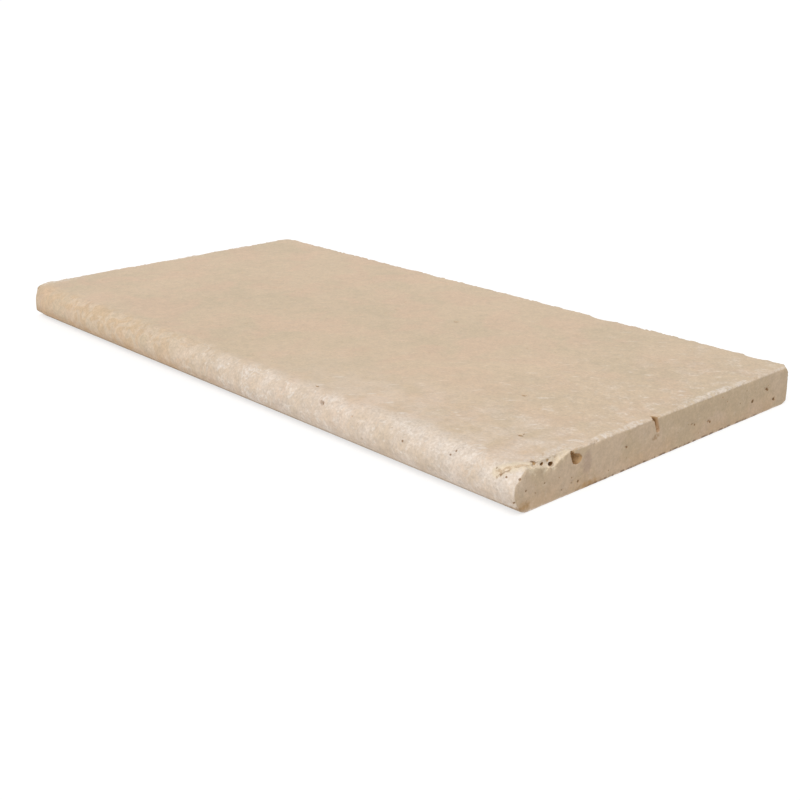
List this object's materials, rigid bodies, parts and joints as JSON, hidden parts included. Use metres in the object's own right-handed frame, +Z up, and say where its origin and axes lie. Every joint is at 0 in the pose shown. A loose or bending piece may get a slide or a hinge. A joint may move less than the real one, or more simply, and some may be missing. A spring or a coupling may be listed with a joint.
{
  "type": "travertine bullnose coping",
  "caption": "Tumbled travertine coping slab, flat bed and top, sawn ends and back, and one long edge turned to a full half-round nose.",
  "frame": {"origin": "middle of the bed, the flat underside that is laid in mortar", "axes": "+X along the nose from the left end to the right end, +Y from the nose to the back, +Z up out of the top face"},
  "size_m": [0.61, 0.305, 0.03],
  "materials": {
    "travertine": "honed and tumbled, matt"
  },
  "bodies": {
    "root": {"coping_slab": "travertine"}
  },
  "joints": []
}
